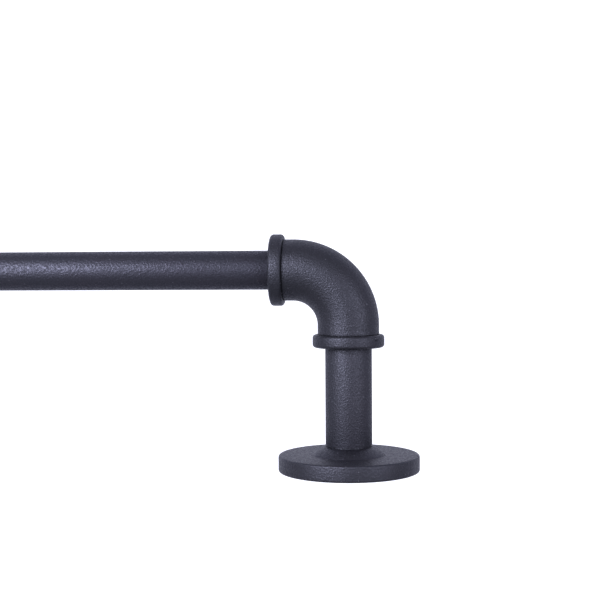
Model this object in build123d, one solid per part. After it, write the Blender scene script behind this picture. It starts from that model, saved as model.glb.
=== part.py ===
from build123d import *
import os

# Wrap-round telescopic curtain rod on two wall brackets. Millimetres.
# Origin: centre of the left bracket's back face, on the wall. +Y points into the wall,
# +Z up, and +X runs along the rod from the left bracket to the right one.

# Rod tubes and the overall length between the two standoffs
span = 1066.8                # standoff to standoff in this pose, 42 in
shortest_span = 914.4        # 36 in
projection = 82.0            # wall to the rod's axis
outer_rod_r = 9.5            # 19 mm tube
inner_rod_r = 8.0            # 16 mm tube
rod_wall = 1.1
mouth_x = 190.0              # open end of the outer tube
inner_end_margin = 11.0      # inner tube stops this far short of the outer tube's far end when closed
trim_l = 14.0                # plastic liner and glide, length inside their tubes
lip_t = 1.4
glide_head_l = 6.0
glide_shell = 1.6
glide_nose = 1.0             # chamfer at the glide's leading edge
glide_floor = 2.0            # closed nose of the hollow glide

# Standoff tube
standoff_r = 9.5
standoff_wall = 1.5

# Elbow casting
elbow_r = 12.5
bend_r = 22.4                # centre line of the bend
leg_straight = 3.6           # straight piece between the bend and each collar
collar_r = 14.6
collar_w = 5.5
collar_round = 1.4
groove_w = 0.5               # groove between each collar and the body
groove_d = 0.45
socket_floor_gap = 0.8       # metal between the socket floor and the start of the bend
socket_clear = 0.06
core_r = 7.4
core_end_x = 12.0            # end of the core that hollows the bend
floor_gap = 0.1              # a tube or sleeve stops this far short of the rod socket's floor
standoff_gap = 0.05          # and the standoff this far short of its socket's floor
sleeve_inset = 0.4           # the reducer sleeve sits this far inside the collar's face

# Wall flange
flange_r = 28.8
flange_rim = 6.7
flange_edge_round = 0.9
flange_back_chamfer = 0.4
hub_r = 15.0
hub_h = 3.8
hub_dome_r = 15.4            # the hub is slightly domed between the flange's face and its top
hub_lip = 0.1                # hub's top stands this much proud of the standoff's radius
neck_r = 8.7                 # shadow gap under the standoff's foot
neck_h = 0.45
recess_r = 25.0
recess_depth = 4.6
spigot_h = 3.0
spigot_clear = 0.1
head_clear = 0.4             # round the tie screw's head
tie_seat_gap = 0.1           # between the head and the floor of its counterbore
shank_clear = 0.3            # round the tie screw's shank

# Wall plate
plate_r = 24.7
plate_t = 4.2
plate_edge = 0.5
wall_hole_r = 2.4
wall_hole_spacing = 32.0
countersink_r = 4.6

# Screws
grub_r = 1.45
grub_hole_r = 1.5
grub_seat_gap = 0.03         # between a grub screw's point and what it bears on
grub_sink = 0.3              # how deep a grub screw sits under the surface
grub_key = 1.5               # across the flats of its hexagon socket
grub_key_depth = 1.6
grub_point = 0.4             # chamfer at its point
grub_rim = 0.2               # chamfer at its top
flange_grub_y = -2.5
tie_r = 2.45
tie_hole_r = 2.5
tie_head_r = 4.5
tie_head_h = 3.0
tie_thread_l = 8.0           # length of thread in the elbow
tie_thread_room = 0.8        # the screw stops this far short of its hole's end
tie_head_gap = 0.3           # between the recess floor and the head
tie_head_round = 0.8
tie_key = 3.0
tie_key_depth = 1.8

# Running clearances in the telescope
liner_clear = 0.06
glide_clear = 0.18
press_clear = 0.02

over = 1.0                   # every cut runs this far past the face that it opens

# Worked out from the sizes above
bend_start = projection - bend_r
collar_start = bend_start - leg_straight - collar_w
collar_face_x = bend_r + leg_straight + collar_w
socket_r = standoff_r + socket_clear
socket_floor = bend_start - socket_floor_gap
socket_floor_x = bend_r + socket_floor_gap
hub_top = flange_rim + hub_h
inner_end_x = shortest_span - socket_floor_x - inner_end_margin


def round_bar(radius, start, end, inner=0.0):
    """A bar or tube round the X axis of the rod."""
    bar = Pos(start, -projection, 0) * Rot(0, 90, 0) * Cylinder(
        radius, end - start, align=(Align.CENTER, Align.CENTER, Align.MIN))
    if inner > 0:
        bore = Pos(start - over, -projection, 0) * Rot(0, 90, 0) * Cylinder(
            inner, end - start + 2 * over, align=(Align.CENTER, Align.CENTER, Align.MIN))
        bar -= bore
    return bar


def post(radius, start, end, x=0.0, z=0.0):
    """A cylinder that stands out from the wall, from start to end."""
    return Pos(x, -start, z) * Rot(90, 0, 0) * Cylinder(
        radius, end - start, align=(Align.CENTER, Align.CENTER, Align.MIN))


def turned(outline):
    """Spin an outline, drawn as radius and height from the wall, about the standoff's axis."""
    solid = revolve(make_face(outline), axis=Axis.Y)
    return Rot(180, 0, 0) * solid


def hexagon(flats, depth):
    return extrude(RegularPolygon(flats / 2, 6, major_radius=False), depth)


def grub_screw(length):
    """A grub screw along +Z, point at the origin, with a hexagon socket in its top."""
    screw = Cylinder(grub_r, length, align=(Align.CENTER, Align.CENTER, Align.MIN))
    screw = chamfer(screw.edges().group_by(Axis.Z)[0], grub_point)
    screw = chamfer(screw.edges().group_by(Axis.Z)[-1], grub_rim)
    screw -= Pos(0, 0, length - grub_key_depth) * hexagon(grub_key, grub_key_depth + over)
    return screw


def standoff_grub_place():
    """The standoff collar's grub screw; its +Z is the way out, straight down."""
    return Pos(0, -collar_start - collar_w / 2, 0) * Rot(180, 0, 0)


def rod_grub_place():
    """The rod collar's grub screw; its +Z is the way out, straight down."""
    return Pos(collar_face_x - collar_w / 2, -projection, 0) * Rot(180, 0, 0)


# Elbow, with its rod leg along +X
def make_elbow():
    bend_face = Pos(-bend_r, 0, 0) * Circle(elbow_r)
    bend = revolve(Plane.XZ * bend_face, axis=Axis.Z, revolution_arc=90)
    # The bend's own centre sits at the origin; it turns from the standoff leg to the rod leg.
    bend = Pos(bend_r, -bend_start, 0) * bend
    leg = post(elbow_r, collar_start + collar_w / 2, bend_start)
    arm = round_bar(elbow_r, bend_r, collar_face_x - collar_w / 2)
    leg_collar = post(collar_r, collar_start, collar_start + collar_w)
    leg_collar = fillet(leg_collar.edges(), collar_round)
    arm_collar = round_bar(collar_r, collar_face_x - collar_w, collar_face_x)
    arm_collar = fillet(arm_collar.edges(), collar_round)
    body = bend + leg + arm
    groove_y = collar_start + collar_w
    body -= post(elbow_r + over, groove_y, groove_y + groove_w) - post(
        elbow_r - groove_d, groove_y, groove_y + groove_w)
    groove_x = collar_face_x - collar_w
    body -= round_bar(elbow_r + over, groove_x - groove_w, groove_x, elbow_r - groove_d)
    body += leg_collar + arm_collar
    body -= post(socket_r, collar_start - over, socket_floor)
    body -= round_bar(socket_r, socket_floor_x, collar_face_x + over)
    body -= round_bar(core_r, core_end_x, socket_floor_x + over)
    body -= post(tie_hole_r, socket_floor - over, socket_floor + tie_thread_l)
    hole = Cylinder(grub_hole_r, collar_r + over, align=(Align.CENTER, Align.CENTER, Align.MIN))
    body -= standoff_grub_place() * hole
    body -= rod_grub_place() * hole
    return body


# Flange, with the recess that hides the wall plate
def make_flange():
    hub_top_r = standoff_r + hub_lip
    spigot_r = standoff_r - standoff_wall - spigot_clear
    rim_top = (flange_r, flange_rim - flange_edge_round)
    face_edge = (flange_r - flange_edge_round, flange_rim)
    shoulder = (hub_top_r, hub_top - neck_h)
    with BuildLine() as outline:
        Polyline((0, recess_depth), (recess_r, recess_depth), (recess_r, 0),
                 (flange_r - flange_back_chamfer, 0), (flange_r, flange_back_chamfer), rim_top)
        RadiusArc(rim_top, face_edge, -flange_edge_round)
        Line(face_edge, (hub_r, flange_rim))
        RadiusArc((hub_r, flange_rim), shoulder, -hub_dome_r)
        Polyline(shoulder, (neck_r, hub_top - neck_h), (neck_r, hub_top), (spigot_r, hub_top),
                 (spigot_r, hub_top + spigot_h), (0, hub_top + spigot_h), (0, recess_depth))
    flange = turned(outline.line)
    head_room_end = recess_depth + tie_head_gap + tie_head_h + tie_seat_gap
    flange -= post(tie_head_r + head_clear, recess_depth - over, head_room_end)
    flange -= post(tie_r + shank_clear, recess_depth, hub_top + spigot_h + over)
    hole = Pos(0, flange_grub_y, -recess_r + over) * Rot(180, 0, 0) * Cylinder(
        grub_hole_r, flange_r - recess_r + 2 * over, align=(Align.CENTER, Align.CENTER, Align.MIN))
    return flange - hole


def make_flange_grub():
    length = flange_r - grub_sink - plate_r - grub_seat_gap
    return Pos(0, flange_grub_y, -plate_r - grub_seat_gap) * Rot(180, 0, 0) * grub_screw(length)


def make_collar_grub(place):
    bearing_r = socket_r - socket_clear + grub_seat_gap
    return place * Pos(0, 0, bearing_r) * grub_screw(collar_r - grub_sink - bearing_r)


# Wall plate: a disc with two countersunk screw holes, one above the other
def make_wall_plate():
    plate = post(plate_r, 0, plate_t)
    front_edge = plate.edges().group_by(Axis.Y)[0]
    plate = chamfer(front_edge, plate_edge)
    for side in (-1, 1):
        z = side * wall_hole_spacing / 2
        plate -= post(wall_hole_r, -over, plate_t + over, z=z)
        depth = countersink_r - wall_hole_r
        cone = Cone(wall_hole_r, countersink_r + over, depth + over,
                    align=(Align.CENTER, Align.CENTER, Align.MIN))
        plate -= Pos(0, -(plate_t - depth), z) * Rot(90, 0, 0) * cone
    return plate


# Standoff tube between the flange's hub and the elbow's socket
def make_standoff():
    tube = post(standoff_r, hub_top, socket_floor - standoff_gap)
    return tube - post(standoff_r - standoff_wall, hub_top - over, socket_floor + over)


# Tie screw: runs from behind the flange through the standoff and pulls the elbow down on it
def make_tie_screw():
    head_start = recess_depth + tie_head_gap
    shank_start = head_start + tie_head_h
    head = post(tie_head_r, head_start, shank_start)
    head = fillet(head.edges().group_by(Axis.Y)[-1], tie_head_round)
    head -= Pos(0, over - head_start, 0) * Rot(90, 0, 0) * hexagon(tie_key, over + tie_key_depth)
    shank = post(tie_r, shank_start, socket_floor + tie_thread_l - tie_thread_room)
    return head + shank


def write(name, shape):
    export_step(shape, os.path.join("parts", name + ".step"))


os.makedirs("parts", exist_ok=True)


bracket = {
    "wall_plate": make_wall_plate(),
    "flange": make_flange(),
    "flange_grub_screw": make_flange_grub(),
    "standoff": make_standoff(),
    "tie_screw": make_tie_screw(),
    "elbow": make_elbow(),
    "standoff_grub_screw": make_collar_grub(standoff_grub_place()),
    "rod_grub_screw": make_collar_grub(rod_grub_place()),
}
for name, piece in bracket.items():
    write("left_" + name, piece)
    # The right bracket mirrors the left one, so that all its grub screws face down too.
    write("right_" + name, Pos(span, 0, 0) * mirror(piece, about=Plane.YZ))

# Reducer sleeve that packs the thin tube out to the elbow's socket
write("reducer_sleeve", round_bar(socket_r - socket_clear, socket_floor_x + floor_gap,
                                  collar_face_x - sleeve_inset, inner_rod_r + press_clear))

# Tubes
inner_bore = inner_rod_r - rod_wall
outer_bore = outer_rod_r - rod_wall
write("inner_rod", round_bar(inner_rod_r, socket_floor_x + floor_gap, inner_end_x, inner_bore))
write("outer_rod", round_bar(outer_rod_r, mouth_x, span - socket_floor_x - floor_gap, outer_bore))

# Plastic liner in the outer tube's mouth, with a thin lip that covers the cut edge
liner = round_bar(outer_bore - press_clear, mouth_x, mouth_x + trim_l, inner_rod_r + liner_clear)
lip = round_bar(outer_rod_r, mouth_x - lip_t, mouth_x - press_clear, inner_rod_r + liner_clear)
lip = chamfer(lip.edges().group_by(Axis.X)[0].sort_by(SortBy.RADIUS)[-1], lip_t / 2)
bridge = round_bar(outer_bore - press_clear, mouth_x - lip_t / 2, mouth_x + over,
                   inner_rod_r + liner_clear)
write("mouth_liner", liner + lip + bridge)

# Plastic glide plugged into the inner tube's far end, which keeps it centred in the outer tube
plug = round_bar(inner_bore - press_clear, inner_end_x - trim_l, inner_end_x + over)
head = round_bar(outer_bore - glide_clear, inner_end_x + press_clear, inner_end_x + glide_head_l)
head = chamfer(head.edges().group_by(Axis.X)[-1], glide_nose)
core = round_bar(inner_bore - glide_shell, inner_end_x - trim_l - over,
                 inner_end_x + glide_head_l - glide_floor)
write("inner_glide", plug + head - core)
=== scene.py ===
import math
import bpy
from mathutils import Matrix, Vector


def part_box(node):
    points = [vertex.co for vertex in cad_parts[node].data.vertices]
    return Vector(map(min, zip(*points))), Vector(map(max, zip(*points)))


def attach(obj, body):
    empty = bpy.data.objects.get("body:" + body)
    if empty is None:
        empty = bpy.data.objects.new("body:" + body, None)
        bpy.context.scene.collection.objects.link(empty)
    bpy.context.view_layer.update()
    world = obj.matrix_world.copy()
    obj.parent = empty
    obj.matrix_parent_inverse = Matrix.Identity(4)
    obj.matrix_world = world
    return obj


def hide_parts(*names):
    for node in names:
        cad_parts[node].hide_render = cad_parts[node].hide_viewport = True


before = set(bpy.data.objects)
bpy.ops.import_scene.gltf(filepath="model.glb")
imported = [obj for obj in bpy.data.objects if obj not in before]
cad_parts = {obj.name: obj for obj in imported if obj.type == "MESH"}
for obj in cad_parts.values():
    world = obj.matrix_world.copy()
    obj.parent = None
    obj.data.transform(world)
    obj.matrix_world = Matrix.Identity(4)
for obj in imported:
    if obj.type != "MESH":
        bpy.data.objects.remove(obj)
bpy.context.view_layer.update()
mm = 0.001  # the frame is in metres
print("frame loaded:", len(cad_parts), "nodes")

# Camera, above the left elbow and looking down at it, with the wall side at the bottom of the view
cameraPlace = {
    "aimX": 19.69 * mm,
    "aimY": -69.76 * mm,
    "distance": 507.4 * mm,
    "sideAngle": 5.68,      # degrees towards the bracket's outer side
    "roomAngle": 2.20,      # degrees away from the wall
    "roll": -0.378,
    "lens": 74.65,
    "nearClip": 10 * mm,
}


def addCamera(place):
    side = math.radians(place["sideAngle"])
    room = math.radians(place["roomAngle"])
    back = Vector((-math.sin(side) * math.cos(room), -math.sin(room), math.cos(side) * math.cos(room)))
    aim = Vector((place["aimX"], place["aimY"], 0))
    bpy.ops.object.camera_add(location=aim + back * place["distance"])
    camera = bpy.context.object
    camera.name = "sceneCamera"
    right = Vector((0, -1, 0)).cross(back).normalized()
    up = back.cross(right).normalized()
    roll = math.radians(place["roll"])
    turnedRight = right * math.cos(roll) + up * math.sin(roll)
    turnedUp = back.cross(turnedRight)
    rows = [[turnedRight[i], turnedUp[i], back[i]] for i in range(3)]
    camera.rotation_euler = Matrix(rows).to_euler()
    camera.data.lens = place["lens"]
    camera.data.clip_start = place["nearClip"]
    bpy.context.scene.camera = camera


addCamera(cameraPlace)
print("camera placed")


# Modelling helpers

ways = {
    "X": Vector((1, 0, 0)),     # along the rod
    "Y": Vector((0, -1, 0)),    # out from the wall
}
weldGap = 0.0005 * mm           # points nearer than this are merged


def clearSelection():
    if bpy.context.object and bpy.context.object.mode != "OBJECT":
        bpy.ops.object.mode_set(mode="OBJECT")
    bpy.ops.object.select_all(action="DESELECT")


def pick(shape):
    clearSelection()
    bpy.context.view_layer.objects.active = shape
    shape.select_set(True)


# Puts the active object's place, turn and scale into its mesh
def settle():
    bpy.ops.object.transform_apply(location=True, rotation=True, scale=True)


def startDisc(name, radius, place, axis, sides, filled=True):
    clearSelection()
    turn = {"X": (0, math.pi / 2, 0), "Y": (math.pi / 2, 0, 0)}[axis]
    bpy.ops.mesh.primitive_circle_add(vertices=sides, radius=radius, location=place, rotation=turn,
                                      fill_type="NGON" if filled else "NOTHING")
    disc = bpy.context.object
    disc.name = name
    settle()
    bpy.ops.object.mode_set(mode="EDIT")
    bpy.ops.mesh.select_mode(type="FACE" if filled else "EDGE")
    bpy.ops.mesh.select_all(action="SELECT")
    return disc


# Extrudes what is selected
def pull(x=0.0, y=0.0, z=0.0):
    bpy.ops.mesh.extrude_region_move(TRANSFORM_OT_translate={"value": (x, y, z)})


# Scales what is selected about a centre
def widen(factor, centre):
    bpy.ops.transform.resize(value=(factor, factor, factor), center_override=centre)


# Adds a flat ring that takes the open end out or in to a new radius
def stepTo(newRadius, radius, centre):
    pull()
    widen(newRadius / radius, centre)


# Draws a turned shape out of a disc or an open ring, one step for each pair of radius and distance
# along the axis. An open ring's outline ends where it began, so the shape closes on itself.
def turnShape(name, outline, foot, axis, sides, filled=True):
    along = ways[axis]
    foot = Vector(foot)
    lastRadius, lastHeight = outline[0]
    shape = startDisc(name, lastRadius, foot + along * lastHeight, axis, sides, filled)
    for radius, height in outline[1:]:
        pull(*(along * (height - lastHeight)))
        widen(radius / lastRadius, foot + along * height)
        lastRadius, lastHeight = radius, height
    closeShape(shape)
    return shape


def closeShape(shape):
    bpy.ops.mesh.select_all(action="SELECT")
    bpy.ops.mesh.remove_doubles(threshold=weldGap)
    bpy.ops.mesh.normals_make_consistent(inside=False)
    bpy.ops.object.mode_set(mode="OBJECT")


# Rounds the rings of edges round an axis that lie at one of the pairs of radius and distance
def roundRings(shape, rings, foot, axis, width, segments):
    along = ways[axis]
    foot = Vector(foot)
    near = 0.01 * mm

    def ringOf(point):
        height = (point - foot).dot(along)
        radius = (point - foot - along * height).length
        for number, (ringRadius, ringHeight) in enumerate(rings):
            if abs(height - ringHeight) < near and abs(radius - ringRadius) < near:
                return number
        return None

    pick(shape)
    bpy.ops.object.mode_set(mode="EDIT")
    bpy.ops.mesh.select_mode(type="EDGE")
    bpy.ops.mesh.select_all(action="DESELECT")
    bpy.ops.object.mode_set(mode="OBJECT")
    points = shape.data.vertices
    places = [ringOf(point.co) for point in points]
    for edge in shape.data.edges:
        first, second = (places[i] for i in edge.vertices)
        edge.select = first is not None and first == second
    bpy.ops.object.mode_set(mode="EDIT")
    bpy.ops.mesh.bevel(offset=width, segments=segments, affect="EDGES", clamp_overlap=True)
    bpy.ops.object.mode_set(mode="OBJECT")


def smoothShape(shape, angle=35):
    pick(shape)
    bpy.ops.object.shade_smooth_by_angle(angle=math.radians(angle))


# Cuts the tool out of the shape, or joins it on, and throws the tool away
def combine(shape, tool, operation):
    change = shape.modifiers.new("combine", "BOOLEAN")
    change.operation = operation
    change.solver = "EXACT"
    change.object = tool
    pick(shape)
    bpy.ops.object.modifier_apply(modifier="combine")
    bpy.data.objects.remove(tool)


screwHoles = {
    "radius": 1.5 * mm,
    "past": 0.3 * mm,       # how far a hole runs on past its screw's point
    "below": 2 * mm,        # how far below the screw the drill starts
    "sides": 48,
}


# Drills the hole of an upright grub screw, up from below
def drillFor(shape, screwNode, size):
    low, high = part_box(screwNode)
    bottom = low.z - size["below"]
    top = high.z + size["past"]
    middle = ((low.x + high.x) / 2, (low.y + high.y) / 2, (bottom + top) / 2)
    clearSelection()
    bpy.ops.mesh.primitive_cylinder_add(vertices=size["sides"], radius=size["radius"],
                                        depth=top - bottom, location=middle)
    drill = bpy.context.object
    settle()
    combine(shape, drill, "DIFFERENCE")


# Gives a finished piece its body and its finish, and hides its CAD node
def fit(piece, node, body, finish):
    piece.data.materials.clear()
    piece.data.materials.append(finish)
    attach(piece, body)
    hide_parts(node)


# Copies a left-hand piece to the right-hand bracket, mirrored, with its own mesh
def mirrorToRight(piece, name):
    copy = piece.copy()
    copy.data = piece.data.copy()
    copy.name = name
    bpy.context.scene.collection.objects.link(copy)
    pick(copy)
    copy.location.x = spanX
    copy.scale.x = -1
    settle()
    bpy.ops.object.mode_set(mode="EDIT")
    closeShape(copy)
    return copy


# Key sizes, read from the frame
lowRight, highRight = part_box("right_flange")
lowRod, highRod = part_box("outer_rod")
spanX = (lowRight.x + highRight.x) / 2      # between the two standoffs
rodY = (lowRod.y + highRod.y) / 2
projection = -rodY                          # from the wall to the rod's axis


# Finishes

def newGroup(name, inputs, outputs):
    group = bpy.data.node_groups.new(name, "ShaderNodeTree")
    for label, kind, value in inputs:
        socket = group.interface.new_socket(name=label, in_out="INPUT", socket_type=kind)
        socket.default_value = value
    for label, kind in outputs:
        group.interface.new_socket(name=label, in_out="OUTPUT", socket_type=kind)
    return group


def addNode(tree, kind, **settings):
    node = tree.nodes.new(kind)
    for key, value in settings.items():
        setattr(node, key, value)
    return node


# Powder grain: a pebbled height, slow clouds, a slower drift of hue and sparse pale flecks
def makeGrainGroup():
    group = newGroup("powderGrain",
                     [("GrainScale", "NodeSocketFloat", 1800.0), ("CloudScale", "NodeSocketFloat", 120.0),
                      ("DriftScale", "NodeSocketFloat", 40.0), ("FleckScale", "NodeSocketFloat", 1500.0)],
                     [("Height", "NodeSocketFloat"), ("Cloud", "NodeSocketFloat"),
                      ("Drift", "NodeSocketFloat"), ("Fleck", "NodeSocketFloat")])
    links = group.links
    enter = addNode(group, "NodeGroupInput")
    leave = addNode(group, "NodeGroupOutput")
    place = addNode(group, "ShaderNodeTexCoord")

    def noise(scaleName, detail, roughness):
        texture = addNode(group, "ShaderNodeTexNoise")
        texture.inputs["Detail"].default_value = detail
        texture.inputs["Roughness"].default_value = roughness
        links.new(place.outputs["Object"], texture.inputs["Vector"])
        links.new(enter.outputs[scaleName], texture.inputs["Scale"])
        return texture.outputs["Fac"]

    fleckStart, fleckFull = 0.78, 0.86      # only the noise's highest peaks show as flecks
    fleckCut = addNode(group, "ShaderNodeMapRange")
    fleckCut.inputs["From Min"].default_value = fleckStart
    fleckCut.inputs["From Max"].default_value = fleckFull
    links.new(noise("GrainScale", detail=2.0, roughness=0.6), leave.inputs["Height"])
    links.new(noise("CloudScale", detail=4.0, roughness=0.55), leave.inputs["Cloud"])
    links.new(noise("DriftScale", detail=2.0, roughness=0.5), leave.inputs["Drift"])
    links.new(noise("FleckScale", detail=0.0, roughness=0.5), fleckCut.inputs["Value"])
    links.new(fleckCut.outputs["Result"], leave.inputs["Fleck"])
    return group


grainGroup = makeGrainGroup()


def newFinish(name):
    finish = bpy.data.materials.new(name)
    finish.use_nodes = True
    tree = finish.node_tree
    tree.nodes.clear()
    out = addNode(tree, "ShaderNodeOutputMaterial")
    shader = addNode(tree, "ShaderNodeBsdfPrincipled")
    tree.links.new(shader.outputs["BSDF"], out.inputs["Surface"])
    return finish, tree, shader


def mixColours(tree, factor, low, high):
    mix = addNode(tree, "ShaderNodeMix", data_type="RGBA")
    tree.links.new(factor, mix.inputs["Factor"])
    colourSockets = [socket for socket in mix.inputs if socket.type == "RGBA"]
    for socket, colour in zip(colourSockets, (low, high)):
        if isinstance(colour, tuple):
            socket.default_value = (*colour, 1)
        else:
            tree.links.new(colour, socket)
    return [socket for socket in mix.outputs if socket.type == "RGBA"][0]


# Noise lies mostly near its middle, so the part within reach of it is spread from low to high
def spread(tree, value, low, high, reach=0.2):
    node = addNode(tree, "ShaderNodeMapRange")
    tree.links.new(value, node.inputs["Value"])
    node.inputs["From Min"].default_value = 0.5 - reach
    node.inputs["From Max"].default_value = 0.5 + reach
    node.inputs["To Min"].default_value = low
    node.inputs["To Max"].default_value = high
    return node.outputs["Result"]


def addGrain(tree, look):
    grain = addNode(tree, "ShaderNodeGroup", node_tree=grainGroup)
    for socket in grain.inputs:
        if socket.name in look:
            socket.default_value = look[socket.name]
    return grain


def addBump(tree, shader, grain, look):
    bump = addNode(tree, "ShaderNodeBump")
    bump.inputs["Strength"].default_value = look["bumpStrength"]
    bump.inputs["Distance"].default_value = look["bumpDepth"]
    tree.links.new(grain.outputs["Height"], bump.inputs["Height"])
    tree.links.new(bump.outputs["Normal"], shader.inputs["Normal"])


# Black powder coat with a violet sheen
def powderCoat(name, look):
    finish, tree, shader = newFinish(name)
    grain = addGrain(tree, look)
    cloudy = mixColours(tree, spread(tree, grain.outputs["Cloud"], 0.0, 1.0), look["dark"], look["light"])
    drift = spread(tree, grain.outputs["Drift"], 0.0, look["coolShare"])
    drifted = mixColours(tree, drift, cloudy, look["cool"])
    # The grain's low spots take a near-black colour: painted shade in its hollows, on top of the grain's
    # random tone.
    hollowShadeMask = spread(tree, grain.outputs["Height"], look["pit"], 0.0, look["grainReach"])
    grainAndHollowShade = mixColours(tree, hollowShadeMask, drifted, look["pitColour"])
    colour = mixColours(tree, grain.outputs["Fleck"], grainAndHollowShade, look["fleck"])
    tree.links.new(colour, shader.inputs["Base Color"])
    gloss = spread(tree, grain.outputs["Height"], look["roughest"], look["smoothest"], look["grainReach"])
    tree.links.new(gloss, shader.inputs["Roughness"])
    addBump(tree, shader, grain, look)
    shader.inputs["Specular IOR Level"].default_value = look["specular"]
    shader.inputs["Specular Tint"].default_value = (*look["sheenTint"], 1)
    return finish


rodLook = {
    "dark": (0.0090, 0.0066, 0.0112),
    "light": (0.0125, 0.0098, 0.0152),
    "cool": (0.0062, 0.0088, 0.0122),
    "coolShare": 0.6,           # how far the drift takes the colour to the cool one
    "pitColour": (0.002, 0.002, 0.003),
    "pit": 1.0,                 # how much of the painted shade colour lies in the grain's low spots
    "grainReach": 0.13,
    "fleck": (0.06, 0.06, 0.08),
    "GrainScale": 1200.0,       # bumps of a bit under a millimetre
    "CloudScale": 150.0,
    "DriftScale": 45.0,
    "FleckScale": 1500.0,
    "smoothest": 0.33,
    "roughest": 0.65,
    "bumpStrength": 1.0,
    "bumpDepth": 0.22 * mm,
    "specular": 0.88,
    "sheenTint": (0.67, 0.685, 1.0),
}
postLook = dict(rodLook, pit=0.8, grainReach=0.2, GrainScale=1500.0,
                smoothest=0.37, roughest=0.70, bumpDepth=0.25 * mm,
                specular=0.80, sheenTint=(0.70, 0.72, 1.0))
# The castings take the coat with base colours about half as light as the tubes': painted shade, standing
# in for the shade round the flange's foot, spread over the whole of each casting.
castLookDarkenedForShade = dict(postLook, dark=(0.0050, 0.0036, 0.0062), light=(0.0072, 0.0056, 0.0088),
                cool=(0.0036, 0.0050, 0.0070), GrainScale=1450.0, CloudScale=110.0, DriftScale=35.0,
                smoothest=0.33, roughest=0.65, bumpDepth=0.22 * mm, specular=0.76)
rodCoat = powderCoat("rodPowderCoat", rodLook)
postCoat = powderCoat("standoffPowderCoat", postLook)
castCoatDarkenedForShade = powderCoat("castPowderCoatDarkenedForShade", castLookDarkenedForShade)


# Plating, blacking or plastic: one colour with slow clouds and a fine grain
def plainCoat(name, look):
    finish, tree, shader = newFinish(name)
    grain = addGrain(tree, look)
    colour = mixColours(tree, spread(tree, grain.outputs["Cloud"], 0.0, 1.0), look["dark"], look["light"])
    tree.links.new(colour, shader.inputs["Base Color"])
    gloss = spread(tree, grain.outputs["Cloud"], look["smoothest"], look["roughest"])
    tree.links.new(gloss, shader.inputs["Roughness"])
    addBump(tree, shader, grain, look)
    shader.inputs["Metallic"].default_value = look["metallic"]
    return finish


plateLook = {
    "dark": (0.50, 0.51, 0.50),
    "light": (0.66, 0.66, 0.62),
    "GrainScale": 1200.0,
    "CloudScale": 60.0,
    "smoothest": 0.28,
    "roughest": 0.45,
    "bumpStrength": 0.3,
    "bumpDepth": 0.02 * mm,
    "metallic": 1.0,
}
tieScrewLook = dict(plateLook, dark=(0.55, 0.55, 0.53), light=(0.70, 0.70, 0.67),
                    GrainScale=2500.0, CloudScale=300.0, smoothest=0.22, roughest=0.36)
grubScrewLook = dict(plateLook, dark=(0.030, 0.030, 0.033), light=(0.055, 0.055, 0.060),
                     GrainScale=2500.0, CloudScale=400.0, smoothest=0.30, roughest=0.45, metallic=0.6)
plasticLook = dict(plateLook, dark=(0.018, 0.018, 0.020), light=(0.028, 0.028, 0.030),
                   GrainScale=1800.0, CloudScale=200.0, smoothest=0.45, roughest=0.58, metallic=0.0)
zincPlate = plainCoat("zincPlate", plateLook)
screwZinc = plainCoat("screwZinc", tieScrewLook)
screwBlack = plainCoat("screwBlack", grubScrewLook)
blackPlastic = plainCoat("blackPlastic", plasticLook)
print("finishes made")


# Elbow

elbow = {
    "tubeRadius": 12.5 * mm,
    "bendRadius": 22.4 * mm,
    "legStraight": 3.85 * mm,   # between the bend and the collar, on the wall side
    "armStraight": 3.75 * mm,   # and on the rod's side
    "collarRadius": 14.6 * mm,
    "collarRound": 1.3 * mm,
    "grooveWidth": 0.3 * mm,    # between each collar and the body
    "grooveDepth": 0.7 * mm,
    "socketRadius": 9.56 * mm,
    "socketDepth": 8.6 * mm,
    "sides": 128,
    "bendSteps": 48,
    "roundSteps": 7,
}


# Drawn in one go from inside the wall-side socket, round the bend and into the rod's socket
def makeElbow(size):
    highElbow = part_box("left_elbow")[1]
    bendStart = projection - size["bendRadius"]
    collarStart = -highElbow.y
    collarEnd = bendStart - size["legStraight"]
    grooveEnd = collarEnd + size["grooveWidth"]
    faceX = highElbow.x
    backX = size["bendRadius"] + size["armStraight"]
    socket, tube, collar = size["socketRadius"], size["tubeRadius"], size["collarRadius"]
    groove = tube - size["grooveDepth"]
    shape = startDisc("leftElbow", socket, (0, -collarStart - size["socketDepth"], 0), "Y", size["sides"])
    pull(y=size["socketDepth"])
    stepTo(collar, socket, (0, -collarStart, 0))
    pull(y=collarStart - collarEnd)
    stepTo(groove, collar, (0, -collarEnd, 0))
    pull(y=-size["grooveWidth"])
    stepTo(tube, groove, (0, -grooveEnd, 0))
    pull(y=size["grooveWidth"] - size["legStraight"])
    bpy.ops.mesh.spin(steps=size["bendSteps"], angle=math.radians(-90), dupli=False,
                      center=(size["bendRadius"], -bendStart, 0), axis=(0, 0, 1))
    pull(x=size["armStraight"] - size["grooveWidth"])
    stepTo(groove, tube, (backX - size["grooveWidth"], -projection, 0))
    pull(x=size["grooveWidth"])
    stepTo(collar, groove, (backX, -projection, 0))
    pull(x=faceX - backX)
    stepTo(socket, collar, (faceX, -projection, 0))
    pull(x=-size["socketDepth"])
    closeShape(shape)
    legRings = [(collar, collarStart), (collar, collarEnd)]
    armRings = [(collar, faceX), (collar, backX)]
    roundRings(shape, legRings, (0, 0, 0), "Y", size["collarRound"], size["roundSteps"])
    roundRings(shape, armRings, (0, -projection, 0), "X", size["collarRound"], size["roundSteps"])
    smoothShape(shape)
    return shape


# A casting nib stands on the left elbow's lower collar, in a shallow ring
nib = {
    "radius": 0.65 * mm,
    "height": 0.55 * mm,
    "ringRadius": 0.85 * mm,
    "ringDepth": 0.12 * mm,
    "turn": -53.0,              # degrees round the collar, from straight above towards the outer side
    "belowGroove": 1.3 * mm,
}


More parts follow.
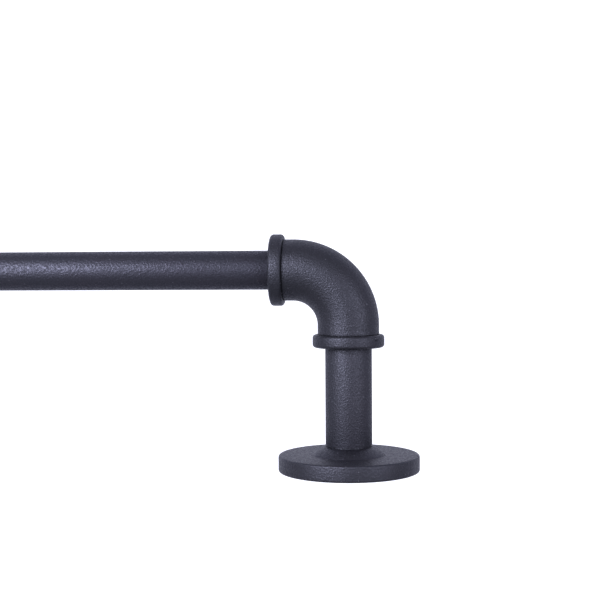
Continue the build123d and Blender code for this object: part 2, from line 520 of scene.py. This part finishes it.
def addNib(shape, look, size):
    turn = math.radians(look["turn"])
    outward = Vector((math.sin(turn), 0, math.cos(turn)))
    centre = Vector((0, size["bendRadius"] + size["legStraight"] + look["belowGroove"] - projection, 0))

    def place(height):
        tool = bpy.context.object
        tool.rotation_euler = (0, turn, 0)
        tool.location = centre + outward * height
        settle()
        return tool

    clearSelection()
    bpy.ops.mesh.primitive_torus_add(major_radius=look["ringRadius"], minor_radius=look["ringDepth"],
                                     major_segments=32, minor_segments=8)
    combine(shape, place(size["collarRadius"]), "DIFFERENCE")
    clearSelection()
    bpy.ops.mesh.primitive_uv_sphere_add(segments=24, ring_count=16, radius=look["radius"])
    combine(shape, place(size["collarRadius"] + look["height"] - look["radius"]), "UNION")
    smoothShape(shape)


leftElbow = makeElbow(elbow)
drillFor(leftElbow, "left_standoff_grub_screw", screwHoles)
drillFor(leftElbow, "left_rod_grub_screw", screwHoles)
smoothShape(leftElbow)
print("elbow:", len(leftElbow.data.polygons), "faces")
rightElbow = mirrorToRight(leftElbow, "rightElbow")
addNib(leftElbow, nib, elbow)
fit(leftElbow, "left_elbow", "left_bracket", castCoatDarkenedForShade)
fit(rightElbow, "right_elbow", "right_bracket", castCoatDarkenedForShade)


# Wall flange

flange = {
    "radius": 28.8 * mm,
    "rim": 6.7 * mm,
    "edgeRound": 0.9 * mm,
    "backRound": 0.8 * mm,
    "recessRadius": 25.0 * mm,
    "recessDepth": 4.6 * mm,
    "hubRadius": 15.0 * mm,
    "hubHeight": 3.8 * mm,
    "hubTopRadius": 9.6 * mm,
    "hubDome": 0.33 * mm,       # how far the hub's side bows out
    "hubSteps": 10,
    "neckRadius": 8.9 * mm,     # shadow gap under the standoff's foot
    "neckHeight": 0.45 * mm,
    "spigotRadius": 7.9 * mm,
    "spigotHeight": 3.0 * mm,
    "sides": 160,
    "roundSteps": 6,
}


def makeFlange(size):
    rim, hubTop = size["rim"], size["rim"] + size["hubHeight"]
    reach = size["hubRadius"] - size["hubTopRadius"]
    shoulder = size["hubHeight"] - size["neckHeight"]
    slope = math.hypot(reach, shoulder)
    outline = [(size["recessRadius"], size["recessDepth"]), (size["recessRadius"], 0),
               (size["radius"], 0), (size["radius"], rim)]
    for step in range(size["hubSteps"] + 1):        # a low cone from the face to the hub's top, bowed out
        part = step / size["hubSteps"]
        bow = 4 * part * (1 - part) * size["hubDome"] / slope
        radius = size["hubRadius"] - reach * part + bow * shoulder
        outline.append((radius, rim + shoulder * part + bow * reach))
    outline += [(size["neckRadius"], rim + shoulder), (size["neckRadius"], hubTop),
                (size["spigotRadius"], hubTop), (size["spigotRadius"], hubTop + size["spigotHeight"])]
    shape = turnShape("leftFlange", outline, (0, 0, 0), "Y", size["sides"])
    roundRings(shape, [(size["radius"], rim)], (0, 0, 0), "Y", size["edgeRound"], size["roundSteps"])
    roundRings(shape, [(size["radius"], 0)], (0, 0, 0), "Y", size["backRound"], size["roundSteps"])
    smoothShape(shape)
    return shape


leftFlange = makeFlange(flange)
drillFor(leftFlange, "left_flange_grub_screw", screwHoles)
smoothShape(leftFlange)
rightFlange = mirrorToRight(leftFlange, "rightFlange")
fit(leftFlange, "left_flange", "left_bracket", castCoatDarkenedForShade)
fit(rightFlange, "right_flange", "right_bracket", castCoatDarkenedForShade)
print("flange:", len(leftFlange.data.polygons), "faces")


# Tubes

tubes = {
    "standoffRadius": 9.5 * mm,
    "standoffWall": 1.5 * mm,
    "outerRadius": 9.5 * mm,
    "innerRadius": 8.0 * mm,
    "rodWall": 1.1 * mm,
    "edgeRound": 0.25 * mm,
    "sides": 128,
    "roundSteps": 2,
    "postParts": 2,         # equal lengths that the standoff's outside is made of
    "rodParts": 8,          # and the rod's
}


def makeTube(name, foot, axis, radius, wall, start, end, parts):
    bore = radius - wall
    outline = [(bore, start), (bore, end)]
    outline += [(radius, end + (start - end) * step / parts) for step in range(parts + 1)]
    outline.append((bore, start))
    tube = turnShape(name, outline, foot, axis, tubes["sides"], filled=False)
    roundRings(tube, [(radius, start), (radius, end), (bore, start), (bore, end)], foot, axis,
               tubes["edgeRound"], tubes["roundSteps"])
    smoothShape(tube)
    return tube


def nodeSpan(node, axis):
    low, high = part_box(node)
    if axis == "X":
        return low.x, high.x
    return -high.y, -low.y


postStart, postEnd = nodeSpan("left_standoff", "Y")
leftStandoff = makeTube("leftStandoff", (0, 0, 0), "Y", tubes["standoffRadius"], tubes["standoffWall"],
                        postStart, postEnd, tubes["postParts"])
rightStandoff = mirrorToRight(leftStandoff, "rightStandoff")
innerStart, innerEnd = nodeSpan("inner_rod", "X")
outerStart, outerEnd = nodeSpan("outer_rod", "X")
rodFoot = (0, rodY, 0)
innerRod = makeTube("innerRod", rodFoot, "X", tubes["innerRadius"], tubes["rodWall"], innerStart, innerEnd,
                    tubes["rodParts"])
outerRod = makeTube("outerRod", rodFoot, "X", tubes["outerRadius"], tubes["rodWall"], outerStart, outerEnd,
                    tubes["rodParts"])
fit(leftStandoff, "left_standoff", "left_bracket", postCoat)
fit(rightStandoff, "right_standoff", "right_bracket", postCoat)
fit(innerRod, "inner_rod", "left_bracket", rodCoat)
fit(outerRod, "outer_rod", "outer_tube", rodCoat)
print("tubes made")


# CAD nodes that show as they are, or that only show with the rod apart

nodeFinishes = {"wall_plate": zincPlate, "tie_screw": screwZinc, "grub_screw": screwBlack,
                "sleeve": blackPlastic, "liner": blackPlastic, "glide": blackPlastic}
for nodeName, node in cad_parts.items():
    for ending, finish in nodeFinishes.items():
        if nodeName.endswith(ending):
            node.data.materials.clear()
            node.data.materials.append(finish)
print("plates, screws and plastics finished")


# Stage: a pale floor well below the rod, and soft light from above on the room side

stage = {
    "floorSize": 40.0,
    "floorZ": -0.60,
    "floorColour": (0.55, 0.56, 0.68),
    "floorRoughness": 0.9,
    "floorGloss": 0.1,
    "floorGlow": 0.6,       # seen by the camera only, so that the floor looks white
    "worldStrength": 0.42,
    "keyPower": 64.0,
    "keySize": 1.5,
    "keyPlace": (1.12, -0.70, 1.75),
    "fillPower": 25.0,
    "fillSize": 1.5,
    "fillPlace": (-1.7, -0.4, 1.55),
    "lightAim": (0.0, -0.06, 0.0),
}


def addFloor(look):
    clearSelection()
    bpy.ops.mesh.primitive_plane_add(size=look["floorSize"], location=(spanX / 2, 0, look["floorZ"]))
    floor = bpy.context.object
    floor.name = "paleFloor"
    paint, tree, shader = newFinish("floorPaint")
    shader.inputs["Base Color"].default_value = (*look["floorColour"], 1)
    shader.inputs["Roughness"].default_value = look["floorRoughness"]
    shader.inputs["Specular IOR Level"].default_value = look["floorGloss"]
    shader.inputs["Emission Color"].default_value = (1, 1, 1, 1)
    glow = addNode(tree, "ShaderNodeMath", operation="MULTIPLY")
    glow.inputs[1].default_value = look["floorGlow"]
    tree.links.new(addNode(tree, "ShaderNodeLightPath").outputs["Is Camera Ray"], glow.inputs[0])
    tree.links.new(glow.outputs["Value"], shader.inputs["Emission Strength"])
    floor.data.materials.append(paint)


def addSoftLight(name, place, aim, size, power):
    bpy.ops.object.light_add(type="AREA", location=place)
    light = bpy.context.object
    light.name = name
    light.data.shape = "DISK"
    light.data.size = size
    light.data.energy = power
    light.rotation_euler = (Vector(aim) - Vector(place)).to_track_quat("-Z", "Y").to_euler()


def addPaleRoom(look):
    room = bpy.data.worlds.new("paleRoom")
    bpy.context.scene.world = room
    room.use_nodes = True
    background = room.node_tree.nodes["Background"]
    background.inputs["Color"].default_value = (1, 1, 1, 1)
    background.inputs["Strength"].default_value = look["worldStrength"]


addFloor(stage)
addSoftLight("keyLight", stage["keyPlace"], stage["lightAim"], stage["keySize"], stage["keyPower"])
addSoftLight("fillLight", stage["fillPlace"], stage["lightAim"], stage["fillSize"], stage["fillPower"])
addPaleRoom(stage)
bpy.context.scene.view_settings.view_transform = "Standard"
print("stage lit")
